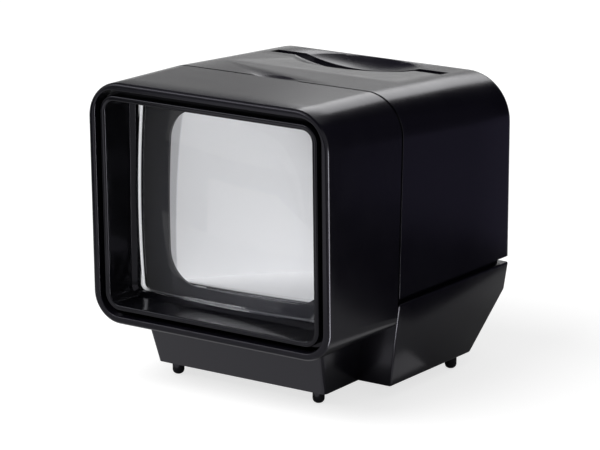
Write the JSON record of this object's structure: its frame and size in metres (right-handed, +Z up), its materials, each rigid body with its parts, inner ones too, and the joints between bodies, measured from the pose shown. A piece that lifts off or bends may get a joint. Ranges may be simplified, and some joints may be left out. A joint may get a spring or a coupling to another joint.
{
  "type": "slide viewer",
  "caption": "Battery slide viewer with a rounded rectangular magnifier in front, a slide slot with a finger scoop in the roof, and a lit white chamber between.",
  "frame": {"origin": "on the table under the middle of the viewer, at the bottom centre of its bounding box", "axes": "+X to the right as the eye looks in, +Y from the magnifier to the back, +Z up"},
  "size_m": [0.0826, 0.0838, 0.082],
  "materials": {
    "black_gloss": "moulded black, satin to gloss",
    "black_tunnel": "moulded black, gloss",
    "black_inner": "moulded black, matt",
    "clear_acrylic": "polished clear acrylic",
    "white_chamber": "moulded white, matt",
    "opal": "opal white, satin",
    "foot_black": "moulded black, gloss",
    "spring_steel": "bright drawn wire",
    "brass": "stamped sheet",
    "zinc_steel": "zinc plated",
    "board": "green laminate",
    "lamp_epoxy": "clear to pale yellow epoxy",
    "cell_jacket": "printed steel can, left bare",
    "lead_red": "red vinyl",
    "lead_black": "black vinyl",
    "lead_white": "white vinyl"
  },
  "bodies": {
    "viewer": {"front_hood": "black_gloss", "lens_tunnel": "black_tunnel", "magnifier_lens": "clear_acrylic", "lens_retainer": "black_inner", "rear_housing": "black_gloss", "light_chamber": "white_chamber", "opal_diffuser": "opal", "lamp_reflector": "white_chamber", "lamp_board": "board", "lamp_left": "lamp_epoxy", "lamp_right": "lamp_epoxy", "base_tray": "black_gloss", "battery_cradle": "black_inner", "front_cell": "cell_jacket", "rear_cell": "cell_jacket", "series_contact": "brass", "positive_contact": "brass", "negative_contact": "brass", "battery_spring_front": "spring_steel", "battery_spring_rear": "spring_steel", "foot_front_left": "foot_black", "foot_front_right": "foot_black", "foot_rear_left": "foot_black", "foot_rear_right": "foot_black", "hood_screw_left": "zinc_steel", "hood_screw_right": "zinc_steel", "housing_screw_left": "zinc_steel", "housing_screw_right": "zinc_steel", "carrier_spring_left": "spring_steel", "carrier_spring_right": "spring_steel", "switch_block": "black_inner", "fixed_blade": "brass", "lead_battery_to_board": "lead_red", "lead_battery_to_switch": "lead_black", "lead_switch_to_board": "lead_white"},
    "carrier": {"slide_carrier": "black_inner"},
    "switch_blade": {"moving_blade": "brass"},
    "door": {"battery_door": "black_gloss"}
  },
  "joints": [
    {"name": "carrier_press", "type": "slide", "parent": "viewer", "child": "carrier", "axis": [0, 0, -1], "range_m": [0, 0.0035], "stiffness_N_per_m": 150, "springref_m": -0.003, "deforming": ["carrier_spring_left", "carrier_spring_right"]},
    {"name": "blade_bend", "type": "hinge", "parent": "viewer", "child": "switch_blade", "pos_m": [0.011, 0.0291, 0.01685], "axis": [0, -1, 0], "range_deg": [0, 11.3]},
    {"name": "door_slide", "type": "slide", "parent": "viewer", "child": "door", "axis": [0, 1, 0], "range_m": [0, 0.03]}
  ],
  "couplings": [
    {"joint": "blade_bend", "follows": "carrier_press", "rad_per_m": 55.556}
  ]
}
